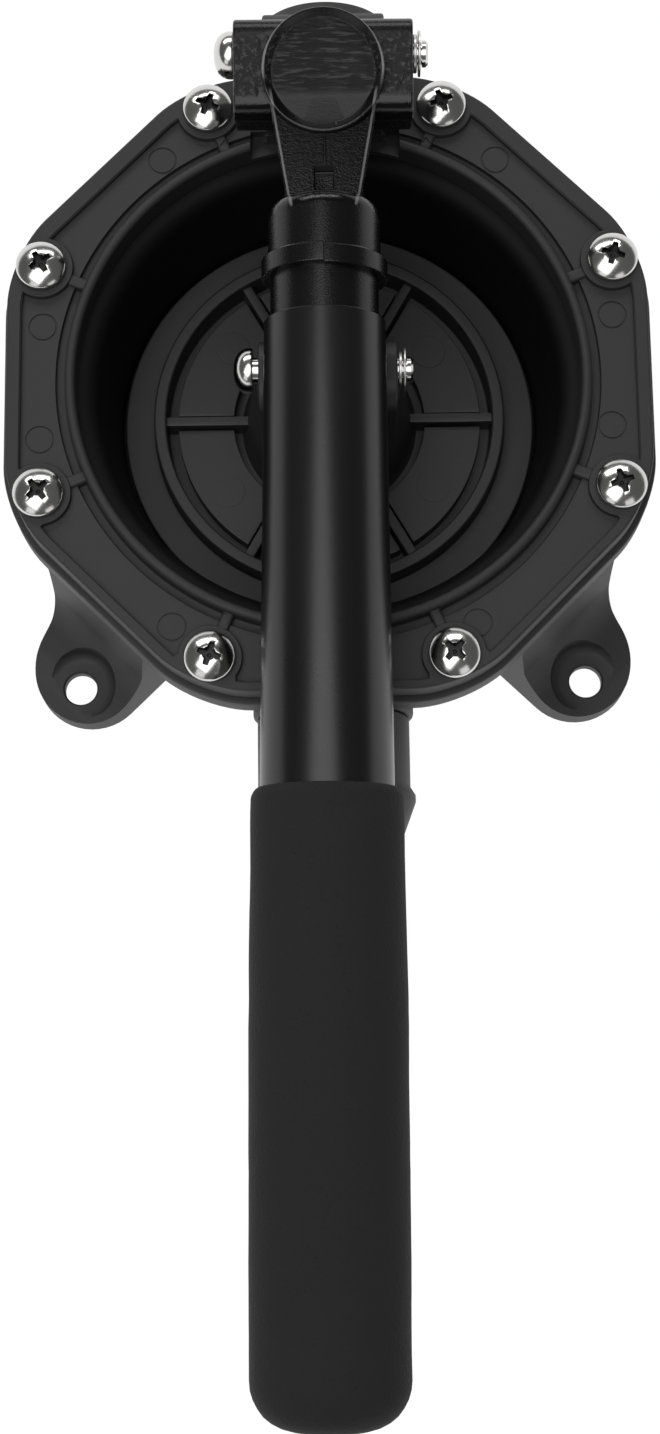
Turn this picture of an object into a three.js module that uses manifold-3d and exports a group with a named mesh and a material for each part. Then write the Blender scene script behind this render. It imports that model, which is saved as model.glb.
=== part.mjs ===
// Manual bilge pump: a round diaphragm pump with a lever handle, lying on its mounting ears.
// Millimetres, +Z up. The origin is on the mounting plane, under the middle of the chamber.
// +Z runs out of the open bowl, the handle reaches along -Y, and both hose tails lie along Y.
import * as THREE from 'three';
import { mergeVertices } from 'three/addons/utils/BufferGeometryUtils.js';
import Module from 'manifold-3d';

const wasm = await Module();
wasm.setup();

// ---- Driving dimensions -------------------------------------------------------------------

const gap = 0.3;                  // clearance between pieces that seat on or in each other
const runningGap = 0.5;           // clearance where a piece turns past another

const roundSteps = 40;            // steps round a large circle
const smallSteps = 16;            // steps round a pin, boss or bore
const screwSteps = 12;            // steps round a clamp screw or its hole
const arcSteps = 8;               // steps along a rounded corner or end
const cornerSteps = 4;            // steps round one corner of the flange
const sealSides = 6;              // sides of a port seal's section

const partingHeight = 53.6;        // joint between the pump body and the clamp ring
const flangeMargin = 2.5;         // from the screw circle out to a flat of the flange
const flangeCorner = 30;          // corner radius of the flange
const bodyFlangeStep = 1.4;        // how far the body's flange stands out past the ring
const bodyFlange = 7;             // thickness of the body's flange
const ringThickness = 8;          // thickness of the clamp ring
const ringStep = 0.5;             // how far the ring's opening stands in past the chamber's mouth
const lipWidth = 3;               // raised lip round the ring's opening
const lipHeight = 1;              // how far the lip stands above the ring
const borderWidth = 5;            // raised border along the ring's outer edge
const panelDepth = 1.6;           // depth of the sunk panels between lip and border

const screwMargin = 6;            // from the diaphragm's rim out to the circle of clamp screws
const screwCount = 8;
const screwRadius = 3;            // shank radius of a clamp screw
const screwLength = 18;           // shank length of a clamp screw
const headRadius = 5.9;           // head radius of a clamp screw
const headHeight = 3.4;
const padRadius = 7.4;            // raised pad under each head
const bossRadius = 5.8;           // boss under the body's flange round each screw
const bossLength = 5;

const wallThickness = 4;          // wall of the pump body
const rollRoom = 7;               // room round the plate for the diaphragm's rolling wall
const chamberDraft = 2;           // how much the chamber widens from its shoulder to its mouth
const shoulderHeight = 20;        // height where the chamber wall turns in
const floorRadius = 40;           // radius of the chamber's flat floor
const floorThickness = 5;         // thickness of the floor over the mounting plane

const holeInsetX = 12;            // from the flange's flat in to a mounting hole, along X
const holeInsetY = 13.5;          // and along Y
const earRadius = 13.7;           // radius of an ear's round end
const earInset = 5;               // from a mounting hole in to the middle of that round end
const earShift = 1.8;             // from the hole's radial line out to that middle, on the flared side
const earThickness = 8.4;         // height of an ear beside its spot face
const earTip = 6.7;               // height of an ear's tip, beyond its spot face
const earFlare = 22;              // half width of an ear's outer side under the flange
const earFillet = 8;              // length of the hollow curve that leads into that flare
const earHollow = 6;              // rise of the hollow curve over an ear, up to the flange
const spotRadius = 8.6;           // spot face round a mounting hole
const spotHeight = 7;             // height of the spot face over the mounting plane
const pocketRadius = 7;           // pocket under a mounting hole
const pocketDepth = 3.6;
const mountHole = 4;              // radius of a mounting hole

const portHeight = 28.6;           // height of the hose tails' axis
const portBoss = 19;              // outer radius of the body's port boss
const portStandoff = 15.5;        // from the chamber's mouth radius out to the boss's end
const portBore = 16.3;            // bore of the port boss
const tailRadius = 18;            // outer radius of a hose tail
const tailBarb = 19.2;            // radius of the barb
const tailTip = 15.9;             // radius of the tail at its open end
const tailBore = 13.4;            // bore of the tail
const tailLength = 29;            // from the boss's end to the tail's open end
const tipLength = 9;             // from the barb's crest to the tail's open end
const spigotDepth = 10;           // how far the tail's spigot enters the boss
const ringGroove = 1.2;           // depth of the seal groove in the spigot
const sealWidth = 1.1;            // section diameter of a port seal

const seatHole = 9.4;             // hole through a valve seat
const seatThickness = 2.6;
const flapRadius = 11.2;          // radius of a valve flap
const flapThickness = 2.2;
const tabWidth = 7;               // tab that a flap hangs from
const tabHeight = 0.6;            // how far the tab stands above the flap
const weightHeight = 1.2;         // raised weight in the flap's middle
const inletSeatStep = 9.5;        // from the boss's end out to the inlet seat's outer face
const outletSeatStep = 4.5;       // from the boss's end in to the outlet seat's outer face

const beadLap = 7.5;              // how far the diaphragm's rim reaches under the ring
const beadThickness = 3;
const rubberThickness = 2.4;      // wall of the diaphragm

const plateRadius = 50;           // outer radius of the diaphragm plate
const plateThickness = 2.8;
const plateTop = 25.6;             // height of the plate's outer flange with the pump pushed in
const rimSetback = 7.5;           // from the plate's edge in to its raised rim
const rimWidth = 3;
const rimHeight = 7;              // height of the rim over the outer flange
const ribCount = 6;
const ribThickness = 2.4;
const ribHeight = 5;
const landMoat = 2.7;             // from the rim, and from the hub, to the lands between the ribs
const landHeight = 3.4;           // height of the lands over the outer flange
const landGap = 0.6;              // from a land to the rib beside it
const hubRadius = 20.5;           // hub radius at the plate
const hubTopRadius = 17;          // hub radius at the clevis
const backingSetback = 6;         // from the plate's edge in to the backing plate's edge
const backingThickness = 3;

const pivotSetback = 8.5;         // from the ring's opening out to the handle's pivot
const pivotZ = 87.1;
const restAngle = -4;             // slope of the handle over the mounting plane, in degrees
const handleLean = 0.47;          // sideways lean of the handle, in degrees
const pinRadius = 3;              // pivot pin and link pin
const pinHead = 5.3;
const pinHeadHeight = 3.8;
const pinTip = 1.5;               // how far a pin's end stands past its retaining clip
const clipRadius = 5.1;
const clipThickness = 0.7;
const washerRadius = 4.3;
const washerThickness = 0.8;
const bushWall = 1.2;             // wall of the plain bushes

const yokeWidth = 40;             // width of the yoke's block
const cheekThickness = 5.8;       // each side cheek of the yoke
const cheekRadius = 7.6;          // round end of the cheeks about the pivot
const lugRadius = 8.8;            // round end of the ring's lug about the pivot
const blockTilt = 12;             // slope of the block against the tube, in degrees
const blockReach = 16;            // from the pivot to the block's lower end
const blockTop = 11;              // front face of the block over the pivot
const blockDepth = 6;             // block's depth behind the pivot
const blockChamfer = 4;           // bevel between the front face and the lower end
const hoodRound = 3.5;            // round top of the front wall, which hoods the ring's lug
const hoodReach = 6;              // from the pivot to the upper end of that wall
const frontWall = 1.6;            // wall in front of the ring's lug
const lowerWall = 4.8;            // wall that closes the block's lower end
const faceBossRadius = 13.6;      // round boss on the block's front
const faceBossHeight = 2.8;
const faceBossReach = 5.9;        // from the pivot to the boss's middle

const axisRise = 3.2;             // the tube's axis lies this far in front of the pivot
const neckTopWidth = 24;          // width of the neck where it leaves the block
const neckFootWidth = 14.4;         // width of the neck where it meets the socket
const neckFront = 8.5;            // front face of the neck, measured from the pivot
const neckThickness = 13;
const slotWidth = 4.4;            // notch in the neck above the socket
const slotLength = 7;
const slotDepth = 4;
const shoulderReach = 36.5;       // pivot to the top of the socket's shoulder
const shoulderRadius = 12.5;
const shoulderRound = 4;
const collarReach = 49.6;         // pivot to the collar
const collarLength = 4.6;
const collarRadius = 14;
const spigotEnd = 96;             // pivot to the end of the part inside the tube
const armWidth = 18;              // width of the lever arm
const linkOffset = 1.2;           // from the chamber's axis to the link pin, along the handle
const linkDrop = 18.8;            // pivot to link pin square to the handle
const eyeRadius = 7.4;            // round end of the lever arm
const kneeReach = 45.6;           // pivot to the knee in the arm's underside, along the handle
const kneeDrop = 12;              // and square to it

const tubeTopRadius = 13.45;      // outer radius of the tube at its upper end
const tubeRadius = 14.55;         // outer radius of the tube from the grip down
const tubeWall = 1.1;
const tubeTop = 63.8;             // pivot to the tube's upper end
const tubeEnd = 294;              // pivot to the tube's lower end
const plugLength = 8;
const gripTop = 167.4;            // pivot to the grip's upper end
const gripEnd = 301;              // pivot to the grip's closed end
const foamTop = 2.05;             // thickness of the foam sleeve at its upper end
const foamWall = 2.6;             // and from its middle down
const gripRound = 10;              // rounding of the grip's closed end

const clevisCheek = 5.8;          // thickness of each clevis cheek
const clevisWall = 3.2;           // material round the clevis's slots
const linkTravel = 4.2;           // link pin's drift along Y over the stroke
const linkPlay = 1.1;             // side clearance of the lever arm in the clevis

// ---- Derived values -----------------------------------------------------------------------

const degrees = Math.PI / 180;
const chamberWaist = plateRadius + rollRoom;
const chamberRadius = chamberWaist + chamberDraft;
const ringBore = chamberRadius - ringStep;
const beadRadius = ringBore + beadLap;
const screwCircle = beadRadius + screwMargin;
const flangeApothem = screwCircle + flangeMargin;
const holeSpacingX = 2 * (flangeApothem - holeInsetX);
const holeSpacingY = 2 * (flangeApothem - holeInsetY);
const portBossReach = chamberRadius + portStandoff;
const tailReach = portBossReach + tailLength;
const barbReach = tailReach - tipLength;
const inletSeatReach = portBossReach + inletSeatStep;
const outletSeatReach = portBossReach - outletSeatStep;
const rimRadius = plateRadius - rimSetback;
const landOuter = rimRadius - rimWidth - landMoat;
const landInner = hubRadius + landMoat;
const backingRadius = plateRadius - backingSetback;
const gripTopRadius = tubeRadius + foamTop;
const gripRadius = tubeRadius + foamWall;
const pivotY = ringBore + pivotSetback;
const linkReach = pivotY + linkOffset;
const ringTop = partingHeight + ringThickness;
const flangeFoot = partingHeight - bodyFlange;
const lipRadius = ringBore + lipWidth;
const rest = restAngle * degrees;
const linkY = pivotY - Math.cos(rest) * linkReach - Math.sin(rest) * linkDrop;
const linkZ = pivotZ + Math.sin(rest) * linkReach - Math.cos(rest) * linkDrop;
const spigotRadius = tubeTopRadius - tubeWall - gap;
const cheekInner = yokeWidth / 2 - cheekThickness;
const lugHalf = cheekInner - runningGap;
const clevisInner = armWidth / 2 + linkPlay;
const clevisOuter = clevisInner + clevisCheek;
const beadGap = beadThickness / 2 + gap;
const plateFoot = plateTop - plateThickness;
const rubberTop = plateFoot - gap;
const rubberFoot = rubberTop - rubberThickness;
const backingTop = rubberFoot - gap;
const backingFoot = backingTop - backingThickness;
const clevisFloor = linkZ - eyeRadius - 2 * runningGap;
const holeReach = Math.hypot(holeSpacingX, holeSpacingY) / 2;
const holeAngle = Math.atan2(holeSpacingY, holeSpacingX);

// ---- Solid helpers ------------------------------------------------------------------------

// A closed geometry becomes a solid with its faces outwards.
function solid(geometry) {
  const bare = geometry.clone();
  bare.deleteAttribute('normal');
  bare.deleteAttribute('uv');
  const merged = mergeVertices(bare, 1e-4);
  const make = (triVerts) => new wasm.Manifold(new wasm.Mesh({
    numProp: 3,
    vertProperties: new Float32Array(merged.attributes.position.array),
    triVerts,
  }));
  const triVerts = new Uint32Array(merged.index.array);
  const body = make(triVerts);
  return body.volume() > 0 ? body : make(triVerts.reverse());
}

function toGeometry(body) {
  const mesh = body.getMesh();
  const geometry = new THREE.BufferGeometry();
  geometry.setAttribute('position', new THREE.BufferAttribute(mesh.vertProperties, 3));
  geometry.setIndex(new THREE.BufferAttribute(mesh.triVerts, 1));
  return geometry;
}

const join = (...bodies) => bodies.reduce((sum, body) => sum.add(body));
const cut = (body, ...tools) => tools.reduce((left, tool) => left.subtract(tool), body);

// A profile of [radius, height] points turned round the Z axis.
function turned(profile, steps = roundSteps) {
  const points = profile.map(([radius, height]) => new THREE.Vector2(radius, height));
  return new THREE.LatheGeometry(points, steps).rotateX(Math.PI / 2);
}

// The same, closed into a ring that doesn't touch the axis.
const turnedRing = (profile, steps) => turned([...profile, profile[0]], steps);

// A whole circle in the shape gets as many sides as there are steps.
function extruded(shape, depth, steps = smallSteps) {
  const curveSegments = steps / 2;
  return new THREE.ExtrudeGeometry(shape, { depth, bevelEnabled: false, curveSegments });
}

// Shapes drawn in (x, y), raised from one height to another.
const alongZ = (shape, low, high, steps) =>
  extruded(shape, high - low, steps).translate(0, 0, low);

// Shapes drawn in (y, z), run from one x to another.
function alongX(shape, low, high, steps) {
  const turn = new THREE.Matrix4().makeBasis(
    new THREE.Vector3(0, 1, 0), new THREE.Vector3(0, 0, 1), new THREE.Vector3(1, 0, 0));
  return extruded(shape, high - low, steps).applyMatrix4(turn).translate(low, 0, 0);
}

function polygon(points) {
  return new THREE.Shape(points.map(([a, b]) => new THREE.Vector2(a, b)));
}

function circle(radius, a = 0, b = 0) {
  return new THREE.Shape().absarc(a, b, radius, 0, 2 * Math.PI);
}

function box(x0, x1, y0, y1, z0, z1) {
  const geometry = new THREE.BoxGeometry(x1 - x0, y1 - y0, z1 - z0);
  return geometry.translate((x0 + x1) / 2, (y0 + y1) / 2, (z0 + z1) / 2);
}

// A solid of revolution about an axis along X, from a profile of [radius, x] points.
const turnedAlongX = (profile, steps = smallSteps) => turned(profile, steps).rotateY(Math.PI / 2);

// A profile of [radius, distance] points turned about the hose tails' axis, on the side given.
function turnedPort(profile, side, steps = roundSteps / 2) {
  const geometry = turnedRing(profile, steps).rotateX(-side * Math.PI / 2);
  return geometry.translate(0, 0, portHeight);
}

// A profile of [radius, distance] points turned about the tube's axis, in the handle's frame.
function turnedHandle(profile, steps = roundSteps / 2) {
  return turned(profile, steps).rotateX(Math.PI / 2).translate(0, 0, axisRise);
}

// An eight-sided outline with round corners.
function flangeOutline(apothem, corner) {
  const shape = new THREE.Shape();
  const half = Math.PI / screwCount;
  const reach = (apothem - corner) / Math.cos(half);
  for (let i = 0; i < screwCount; i += 1) {
    const angle = (2 * i + 1) * half;
    const x = reach * Math.cos(angle);
    const y = reach * Math.sin(angle);
    shape.absarc(x, y, corner, angle - half, angle + half);
  }
  shape.closePath();
  return shape;
}

function atScrews(make) {
  const step = 2 * Math.PI / screwCount;
  return Array.from({ length: screwCount }, (_, i) => {
    const angle = (i + 0.5) * step;
    return make(screwCircle * Math.cos(angle), screwCircle * Math.sin(angle));
  });
}

const screwCylinders = (radius, low, high) =>
  atScrews((x, y) => solid(alongZ(circle(radius, x, y), low, high, screwSteps)));

// ---- Pump body ----------------------------------------------------------------------------

const chamberInside = [
  [0, floorThickness], [floorRadius, floorThickness], [chamberWaist, shoulderHeight],
  [chamberRadius, partingHeight + 1], [0, partingHeight + 1],
];

const chamberOutside = [
  [0, 0], [floorRadius + wallThickness / 2, 0], [chamberWaist + wallThickness, shoulderHeight],
  [chamberRadius + wallThickness, flangeFoot + 1], [0, flangeFoot + 1],
];

// One ear, drawn along +X from the chamber's axis and turned to its corner. Its outer side
// flares out under the flange and its inner side, towards the hose tail, runs straight.
function ear(signX, signY) {
  const inner = chamberWaist - 2 * wallThickness;
  const middle = holeReach - earInset;
  const flare = flangeApothem - 1;
  const outline = new THREE.Shape();
  outline.moveTo(inner, earShift - earRadius);
  outline.lineTo(middle, earShift - earRadius);
  outline.absarc(middle, earShift, earRadius, -Math.PI / 2, Math.PI / 2 - 0.2);
  outline.quadraticCurveTo(flare + earFillet / 2, earShift + earRadius + 2, flare, earFlare);
  outline.lineTo(inner, earFlare + earFillet);
  outline.closePath();
  const side = new THREE.Shape();
  side.moveTo(0, 0);
  side.lineTo(holeReach + 2 * earRadius, 0);
  side.lineTo(holeReach + 2 * earRadius, earTip);
  side.lineTo(holeReach + earInset, earTip);
  side.lineTo(holeReach, earThickness);
  side.quadraticCurveTo(flare + earFillet / 2, earThickness + earHollow, flare - 1, flangeFoot + 1);
  side.lineTo(0, flangeFoot + 1);
  side.closePath();
  const turn = new THREE.Matrix4().makeRotationZ(signX > 0 ? holeAngle : Math.PI - holeAngle);
  const mirror = new THREE.Matrix4().makeScale(1, -signX, 1);
  const flip = new THREE.Matrix4().makeScale(1, signY, 1);
  turn.premultiply(flip).multiply(mirror);
  const put = (geometry) => solid(geometry.applyMatrix4(turn));
  const plan = put(alongZ(outline, 0, flangeFoot + 1, arcSteps));
  const upright = new THREE.Matrix4().makeRotationX(Math.PI / 2);
  const slab = extruded(side, 4 * earFlare, arcSteps).translate(0, 0, -2 * earFlare);
  const web = plan.intersect(put(slab.applyMatrix4(upright)));
  const spot = put(alongZ(circle(spotRadius, holeReach, 0), spotHeight, 2 * flangeFoot));
  const hole = put(alongZ(circle(mountHole, holeReach, 0), -1, spotHeight + 1));
  const pocket = put(alongZ(circle(pocketRadius, holeReach, 0), -1, pocketDepth));
  const clear = spot.subtract(solid(alongZ(circle(flare + 0.5), 0, 2 * flangeFoot, roundSteps)));
  return { web, cuts: join(clear, hole, pocket) };
}

const corners = [[1, 1], [-1, 1], [-1, -1], [1, -1]];

function portBossSolid(side) {
  const start = chamberWaist - wallThickness;
  const chamfer = 1.2;
  const profile = [
    [0, start], [portBoss, start], [portBoss, portBossReach - 2 * chamfer],
    [portBoss - chamfer, portBossReach], [0, portBossReach],
  ];
  const geometry = turned(profile, roundSteps / 2).rotateX(-side * Math.PI / 2);
  return solid(geometry.translate(0, 0, portHeight));
}

function portBoreSolid(side) {
  const profile = [[0, chamberWaist - 4 * wallThickness], [portBore, chamberWaist - 4 * wallThickness],
    [portBore, portBossReach + 1], [0, portBossReach + 1]];
  const geometry = turned(profile, roundSteps / 2).rotateX(-side * Math.PI / 2);
  return solid(geometry.translate(0, 0, portHeight));
}

function pumpBody() {
  const rim = flangeOutline(flangeApothem + bodyFlangeStep, flangeCorner + bodyFlangeStep);
  const flange = solid(alongZ(rim, flangeFoot, partingHeight, cornerSteps));
  const ears = corners.map(([signX, signY]) => ear(signX, signY));
  const shell = join(solid(turned(chamberOutside)), flange,
    ...ears.map((part) => part.web),
    portBossSolid(1), portBossSolid(-1),
    ...screwCylinders(bossRadius, flangeFoot - bossLength, partingHeight));
  const beadSeat = solid(alongZ(circle(beadRadius + gap), partingHeight - beadGap,
    partingHeight + 1, roundSteps));
  const screwFoot = ringTop - screwLength - gap;
  return cut(shell, solid(turned(chamberInside)), beadSeat,
    portBoreSolid(1), portBoreSolid(-1),
    ...ears.map((part) => part.cuts),
    ...screwCylinders(screwRadius + gap, screwFoot, partingHeight + 1));
}

// ---- Clamp ring ---------------------------------------------------------------------------

// The lug that carries the handle's pivot, drawn in (y, z).
function lugOutline() {
  const shape = new THREE.Shape();
  const foot = ringTop - panelDepth - 1;
  shape.moveTo(lipRadius - lipWidth / 2, foot);
  shape.lineTo(flangeApothem - 1, foot);
  shape.lineTo(flangeApothem - 1, ringTop + 4);
  shape.absarc(pivotY, pivotZ, lugRadius, -20 * degrees, 190 * degrees);
  shape.lineTo(lipRadius - lipWidth / 2, ringTop + 4);
  shape.closePath();
  return shape;
}

function clampRing() {
  const slab = solid(alongZ(flangeOutline(flangeApothem, flangeCorner),
    partingHeight + gap, ringTop, cornerSteps));
  const panel = solid(alongZ(flangeOutline(flangeApothem - borderWidth, flangeCorner - borderWidth),
    ringTop - panelDepth, ringTop + 1, cornerSteps));
  const lip = solid(alongZ(circle(lipRadius), partingHeight + gap, ringTop + lipHeight, roundSteps));
  const lug = solid(alongX(lugOutline(), -lugHalf, lugHalf, smallSteps));
  const bore = solid(alongZ(circle(ringBore), 0, ringTop + lipHeight, roundSteps));
  const beadSeat = solid(alongZ(circle(beadRadius + gap), 0, partingHeight + beadGap, roundSteps));
  const pads = screwCylinders(padRadius, ringTop - panelDepth - 1, ringTop);
  const sunk = cut(slab, panel);
  const outline = solid(alongZ(flangeOutline(flangeApothem, flangeCorner), 0, ringTop, cornerSteps));
  const trimmed = pads.map((pad) => pad.intersect(outline));
  const bushHole = solid(alongX(circle(pinRadius + 2 * gap + bushWall, pivotY, pivotZ),
    -yokeWidth, yokeWidth));
  return cut(join(sunk, lip, ...trimmed, lug), bore, beadSeat, bushHole,
    ...screwCylinders(screwRadius + gap, 0, 2 * ringTop));
}

// ---- Fasteners ----------------------------------------------------------------------------

function clampScrew() {
  const foot = ringTop + gap / 2 - screwLength;
  const seat = ringTop + gap;
  const crown = 0.6;
  return turned([
    [0, foot], [screwRadius, foot], [screwRadius, seat], [headRadius, seat],
    [headRadius, seat + 0.3 * headHeight], [crown * headRadius, seat + 0.85 * headHeight],
    [0, seat + headHeight],
  ], screwSteps);
}

// A headed pin through pieces whose outer faces are `half` from the middle.
function headedPin(half) {
  const seat = -(half + gap);
  const clipSeat = half + gap + washerThickness + gap;
  const tip = clipSeat + clipThickness + pinTip;
  const groove = 0.6;
  return turnedAlongX([
    [0, seat - pinHeadHeight], [0.55 * pinHead, seat - 0.85 * pinHeadHeight],
    [pinHead, seat - 0.35 * pinHeadHeight], [pinHead, seat], [pinRadius, seat],
    [pinRadius, clipSeat - gap / 2], [pinRadius - groove, clipSeat - gap / 2],
    [pinRadius - groove, clipSeat + clipThickness + gap / 2],
    [pinRadius, clipSeat + clipThickness + gap / 2], [pinRadius, tip - 0.5],
    [pinRadius - 0.5, tip], [0, tip],
  ]);
}

function pinWasher(half) {
  const inner = half + gap;
  return turnedAlongX(closed([
    [pinRadius + gap, inner], [washerRadius, inner],
    [washerRadius, inner + washerThickness], [pinRadius + gap, inner + washerThickness],
  ]));
}

// A flat retaining clip, open on one side.
function pinClip(half) {
  const inner = half + gap + washerThickness + gap;
  const grip = pinRadius - 0.6 + gap;
  const opening = 32 * degrees;
  const shape = new THREE.Shape();
  shape.absarc(0, 0, clipRadius, opening, 2 * Math.PI - opening);
  shape.absarc(0, 0, grip, 2 * Math.PI - opening, opening, true);
  shape.closePath();
  return alongX(shape, inner, inner + clipThickness, smallSteps);
}

function closed(profile) {
  return [...profile, profile[0]];
}

function plainBush(half) {
  const inner = pinRadius + gap;
  return turnedAlongX(closed([
    [inner, -half], [inner + bushWall, -half], [inner + bushWall, half], [inner, half],
  ]));
}

// ---- Diaphragm and plate ------------------------------------------------------------------

function diaphragm() {
  const beadTop = partingHeight + beadThickness / 2;
  const beadFoot = partingHeight - beadThickness / 2;
  const hole = screwRadius + gap;
  const knee = plateRadius + 2 * gap;
  const mouth = ringBore - 2 * rubberThickness - gap;
  return turnedRing([
    [beadRadius, beadFoot], [beadRadius, beadTop], [mouth + rubberThickness, beadTop],
    [mouth, beadFoot], [knee, plateTop], [knee, rubberTop], [hole, rubberTop],
    [hole, rubberFoot], [knee + rubberThickness / 2, rubberFoot],
    [knee + rubberThickness, plateTop], [mouth + rubberThickness, beadFoot],
  ]);
}

function backingPlate() {
  const hole = screwRadius + gap;
  return turnedRing([
    [hole, backingFoot], [backingRadius - 2, backingFoot], [backingRadius, backingFoot + 2],
    [backingRadius, backingTop], [hole, backingTop],
  ]);
}

// The bolt that draws the backing plate and the diaphragm up to the hub.
function hubBolt() {
  const seat = backingFoot - gap;
  const top = plateTop + 12;
  const head = solid(alongZ(new THREE.Shape(hexagon(5)), seat - 4, seat));
  const shank = solid(alongZ(circle(screwRadius), seat - 1, top));
  return join(head, shank);
}

function hexagon(halfAcross) {
  const corner = halfAcross / Math.cos(Math.PI / 6);
  return Array.from({ length: 6 }, (_, i) => new THREE.Vector2(
    corner * Math.cos(i * Math.PI / 3), corner * Math.sin(i * Math.PI / 3)));
}

// The clevis is open along Y, with slots that let the link pin drift as the handle swings.
function clevis() {
  const slotHalf = pinRadius + runningGap;
  const slotY0 = -linkTravel;
  const slotY1 = 0;
  const outer = slotHalf + clevisWall;
  const outline = new THREE.Shape();
  outline.moveTo(linkY + slotY0 - outer, plateTop);
  outline.lineTo(linkY + slotY1 + outer, plateTop);
  outline.absarc(linkY + slotY1, linkZ, outer, 0, Math.PI / 2);
  outline.absarc(linkY + slotY0, linkZ, outer, Math.PI / 2, Math.PI);
  outline.closePath();
  const slot = new THREE.Shape();
  slot.absarc(linkY + slotY1, linkZ, slotHalf, -Math.PI / 2, Math.PI / 2);
  slot.absarc(linkY + slotY0, linkZ, slotHalf, Math.PI / 2, 1.5 * Math.PI);
  slot.closePath();
  return cut(solid(alongX(outline, -clevisOuter, clevisOuter, arcSteps)),
    solid(alongX(slot, -yokeWidth, yokeWidth, arcSteps)));
}

function diaphragmPlate() {
  const rimTop = plateTop + rimHeight;
  const rimInner = rimRadius - rimWidth;
  const disc = solid(turned([
    [0, plateFoot], [plateRadius - 1, plateFoot], [plateRadius, plateTop - 1],
    [plateRadius - 1, plateTop], [rimRadius, plateTop], [rimRadius, rimTop],
    [rimInner, rimTop], [rimInner, plateTop], [0, plateTop],
  ]));
  const hub = solid(turned([
    [0, plateFoot + 1], [hubRadius, plateFoot + 1], [hubRadius, plateTop],
    [hubTopRadius, clevisFloor], [0, clevisFloor],
  ]));
  const rib = (i) => solid(box(0, rimInner + 1, -ribThickness / 2, ribThickness / 2,
    plateFoot + 1, plateTop + ribHeight).rotateZ(i * 2 * Math.PI / ribCount));
  const ribs = Array.from({ length: ribCount }, (_, i) => rib(i));
  const landTop = plateTop + landHeight;
  const gapHalf = ribThickness / 2 + landGap;
  const gapCut = (i) => solid(box(0, rimInner, -gapHalf, gapHalf, plateTop, landTop + 1)
    .rotateZ(i * 2 * Math.PI / ribCount));
  const lands = cut(solid(turnedRing([
    [landInner, plateFoot + 1], [landOuter, plateFoot + 1], [landOuter, landTop - 0.4],
    [landOuter - 0.4, landTop], [landInner, landTop],
  ])), ...Array.from({ length: ribCount }, (_, i) => gapCut(i)));
  const jaw = solid(box(-clevisInner, clevisInner, -hubRadius * 2, hubRadius * 2,
    clevisFloor, 2 * linkZ));
  const boltHole = solid(alongZ(circle(screwRadius + gap), 0, plateTop + 12 + gap));
  return cut(join(disc, hub, lands, clevis(), ...ribs), jaw, boltHole);
}

// ---- Hose tails and valves ----------------------------------------------------------------

function hoseTail(side) {
  const start = portBossReach - spigotDepth;
  const spigot = portBore - gap;
  const groove = start + spigotDepth / 2;
  const grooveHalf = sealWidth / 2 + 0.2;
  return turnedPort([
    [tailBore, start], [spigot, start], [spigot, groove - grooveHalf],
    [spigot - ringGroove, groove - grooveHalf], [spigot - ringGroove, groove + grooveHalf],
    [spigot, groove + grooveHalf], [spigot, portBossReach + gap],
    [tailRadius, portBossReach + gap], [tailRadius, barbReach - 2.5], [tailBarb, barbReach],
    [tailTip, tailReach], [tailBore, tailReach],
  ], side);
}

function portSeal(side) {
  const middle = portBossReach - spigotDepth / 2;
  const centre = portBore - gap - ringGroove + sealWidth / 2 + 0.1;
  const profile = Array.from({ length: sealSides }, (_, i) => [
    centre + sealWidth / 2 * Math.cos(i * 2 * Math.PI / sealSides),
    middle + sealWidth / 2 * Math.sin(i * 2 * Math.PI / sealSides),
  ]);
  return turnedPort(profile, side);
}

// A seat ring whose outer face is `reach` from the chamber's axis.
function valveSeat(side, reach) {
  const outer = tailBore - gap;
  const inner = reach - seatThickness;
  return turnedPort([
    [seatHole, inner], [outer, inner], [outer, reach], [seatHole, reach],
  ], side, smallSteps);
}

// A round flap with a thicker weight in its middle, hung from the hinge above it.
function valveFlap(faceY) {
  const disc = solid(turned([
    [0, 0], [flapRadius, 0], [flapRadius, flapThickness], [seatHole * 0.7, flapThickness],
    [seatHole * 0.6, flapThickness + weightHeight], [0, flapThickness + weightHeight],
  ], smallSteps).rotateX(-Math.PI / 2).translate(0, faceY, portHeight));
  const tab = solid(box(-tabWidth / 2, tabWidth / 2, faceY, faceY + flapThickness,
    portHeight, portHeight + flapRadius + tabHeight));
  return join(disc, tab);
}

// ---- Yoke: the cast lever, in the handle's frame ------------------------------------------
// Its origin is the pivot; the tube runs along -Y and the front faces +Z.

function blockOutline() {
  const shape = new THREE.Shape();
  shape.absarc(0, 0, cheekRadius, -Math.PI / 2, 10 * degrees);
  shape.absarc(hoodReach - hoodRound + 0.2, blockTop - hoodRound, hoodRound, 0, Math.PI / 2);
  shape.lineTo(blockChamfer / 2 - blockReach, blockTop);
  shape.lineTo(-blockReach, blockTop - blockChamfer);
  shape.lineTo(-blockReach, -blockDepth);
  shape.closePath();
  return shape;
}

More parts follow.
